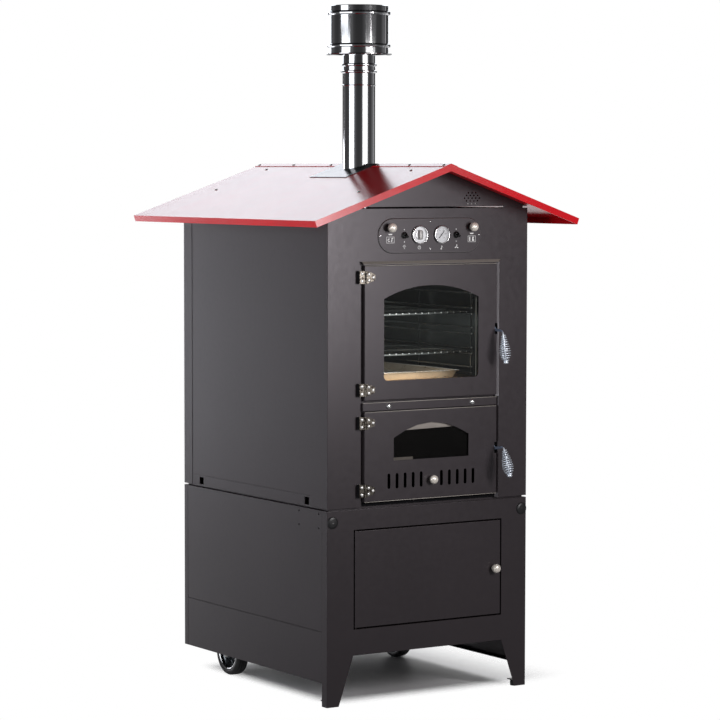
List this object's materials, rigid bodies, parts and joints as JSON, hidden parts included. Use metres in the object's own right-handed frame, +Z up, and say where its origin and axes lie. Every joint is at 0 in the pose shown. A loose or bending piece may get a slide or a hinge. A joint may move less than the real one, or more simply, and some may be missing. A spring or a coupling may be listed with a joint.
{
  "type": "wood-fired oven",
  "caption": "Outdoor wood-fired oven: sheet-metal cabinet on a wheeled cupboard, glazed oven and fire doors, pitched roof and a flue with cowl.",
  "frame": {"origin": "on the ground under the middle of the roof outline", "axes": "+Z up, the doors face -Y, hinges on the -X side and handles on the +X side"},
  "size_m": [1.047, 1.221, 2.32],
  "materials": {
    "body_paint": "satin fine-textured powder coat",
    "ledge_paint": "satin powder coat, lighter taupe",
    "roof_red": "high gloss",
    "stainless": "polished, rolled",
    "zinc": "bright zinc",
    "chrome": "polished",
    "steel_inside": "satin, heat-tinted",
    "iron": "rough",
    "black_plastic": "satin",
    "rubber": "matt",
    "wheel": "matt tread on a bright rim",
    "glass": "clear, smoke tinted",
    "stone": "fired, matt",
    "wool": "ceramic fibre blanket",
    "knob": "polished"
  },
  "bodies": {
    "casing": {"base_front_frame": "body_paint", "base_side_panels": "body_paint", "base_skirts": "body_paint", "base_rear_frame": "body_paint", "base_floor": "body_paint", "base_caps": "black_plastic", "front_feet": "rubber", "wheel_axle": "zinc", "front_panel": "body_paint", "side_panel_left": "body_paint", "side_panel_right": "body_paint", "rear_panel": "body_paint", "floor_pan": "body_paint", "door_surround": "ledge_paint", "mid_bar": "body_paint", "front_gable": "body_paint", "rear_gable": "body_paint", "roof_panel_left": "roof_red", "roof_panel_right": "roof_red", "ridge_cap": "roof_red", "roof_screws": "zinc", "flue_flashing": "stainless", "flue_pipe": "stainless", "chimney_cowl": "stainless", "baking_chamber": "steel_inside", "insulation": "wool", "refractory_floor": "stone", "firebox": "iron", "fire_grate": "iron", "rack_supports": "chrome", "oven_lamp": "glass", "fan_motor_and_gland": "black_plastic", "hinge_body_leaves": "chrome", "control_plate": "body_paint", "gauge_cases": "chrome"},
    "base_door_body": {"base_door": "body_paint", "base_door_knob": "knob"},
    "upper_door_body": {"upper_door": "body_paint", "upper_door_glass": "glass", "upper_door_retainer": "steel_inside", "hinge_upper_leaves": "chrome"},
    "lower_door_body": {"lower_door": "body_paint", "lower_door_glass": "glass", "hinge_lower_leaves": "chrome"},
    "latch_upper_body": {"latch_upper": "zinc"},
    "latch_lower_body": {"latch_lower": "zinc"},
    "air_slide_body": {"air_slide": "zinc"},
    "wheel_left_body": {"wheel_left": "wheel"},
    "wheel_right_body": {"wheel_right": "wheel"},
    "rack_upper_body": {"rack_upper": "chrome"},
    "rack_lower_body": {"rack_lower": "chrome"},
    "drip_tray_body": {"drip_tray": "steel_inside"},
    "ash_drawer_body": {"ash_drawer": "steel_inside"},
    "fan_body": {"fan_wheel": "steel_inside"},
    "damper_left_body": {"damper_pull_left": "knob"},
    "damper_right_body": {"damper_pull_right": "knob"},
    "timer_body": {"timer_knob": "chrome"},
    "needle_body": {"thermometer_needle": "black_plastic"},
    "switch_left_body": {"switch_lever_left": "black_plastic"},
    "switch_right_body": {"switch_lever_right": "black_plastic"}
  },
  "joints": [
    {"name": "cupboard_door_swing", "type": "hinge", "parent": "casing", "child": "base_door_body", "pos_m": [-0.286, -0.4795, 0.417], "axis": [0, 0, -1], "range_deg": [0, 105]},
    {"name": "upper_door_swing", "type": "hinge", "parent": "casing", "child": "upper_door_body", "pos_m": [-0.262, -0.503, 1.226], "axis": [0, 0, -1], "range_deg": [0, 110]},
    {"name": "lower_door_swing", "type": "hinge", "parent": "casing", "child": "lower_door_body", "pos_m": [-0.262, -0.503, 0.82], "axis": [0, 0, -1], "range_deg": [0, 110]},
    {"name": "upper_latch_lift", "type": "hinge", "parent": "upper_door_body", "child": "latch_upper_body", "pos_m": [0.26, -0.4895, 1.227], "axis": [-1, 0, 0], "range_deg": [0, 40]},
    {"name": "lower_latch_lift", "type": "hinge", "parent": "lower_door_body", "child": "latch_lower_body", "pos_m": [0.26, -0.4895, 0.826], "axis": [-1, 0, 0], "range_deg": [0, 40]},
    {"name": "air_slide_travel", "type": "slide", "parent": "lower_door_body", "child": "air_slide_body", "axis": [1, 0, 0], "range_m": [0, 0.012]},
    {"name": "left_wheel_roll", "type": "hinge", "parent": "casing", "child": "wheel_left_body", "pos_m": [-0.3425, 0.2295, 0.08], "axis": [1, 0, 0], "continuous": true},
    {"name": "right_wheel_roll", "type": "hinge", "parent": "casing", "child": "wheel_right_body", "pos_m": [0.3425, 0.2295, 0.08], "axis": [1, 0, 0], "continuous": true},
    {"name": "upper_rack_slide", "type": "slide", "parent": "casing", "child": "rack_upper_body", "axis": [0, -1, 0], "range_m": [0, 0.1]},
    {"name": "lower_rack_slide", "type": "slide", "parent": "casing", "child": "rack_lower_body", "axis": [0, -1, 0], "range_m": [0, 0.1]},
    {"name": "drip_tray_slide", "type": "slide", "parent": "casing", "child": "drip_tray_body", "axis": [0, -1, 0], "range_m": [0, 0.088]},
    {"name": "ash_drawer_slide", "type": "slide", "parent": "casing", "child": "ash_drawer_body", "axis": [0, -1, 0], "range_m": [0, 0.045]},
    {"name": "fan_spin", "type": "hinge", "parent": "casing", "child": "fan_body", "pos_m": [0, 0.3475, 1.29], "axis": [0, 1, 0], "continuous": true},
    {"name": "left_damper_pull", "type": "slide", "parent": "casing", "child": "damper_left_body", "axis": [0, -1, 0], "range_m": [0, 0.05]},
    {"name": "right_damper_pull", "type": "slide", "parent": "casing", "child": "damper_right_body", "axis": [0, -1, 0], "range_m": [0, 0.05]},
    {"name": "timer_turn", "type": "hinge", "parent": "casing", "child": "timer_body", "pos_m": [-0.0439, -0.4935, 1.546], "axis": [0, 1, 0], "range_deg": [0, 300]},
    {"name": "needle_turn", "type": "hinge", "parent": "casing", "child": "needle_body", "pos_m": [0.0439, -0.4925, 1.546], "axis": [0, 1, 0], "range_deg": [0, 250], "stiffness_Nm_per_rad": 0.005},
    {"name": "left_switch_tip", "type": "hinge", "parent": "casing", "child": "switch_left_body", "pos_m": [-0.1036, -0.4895, 1.5454], "axis": [-1, 0, 0], "range_deg": [0, 24]},
    {"name": "right_switch_tip", "type": "hinge", "parent": "casing", "child": "switch_right_body", "pos_m": [0.1036, -0.4895, 1.5454], "axis": [-1, 0, 0], "range_deg": [0, 24]}
  ]
}
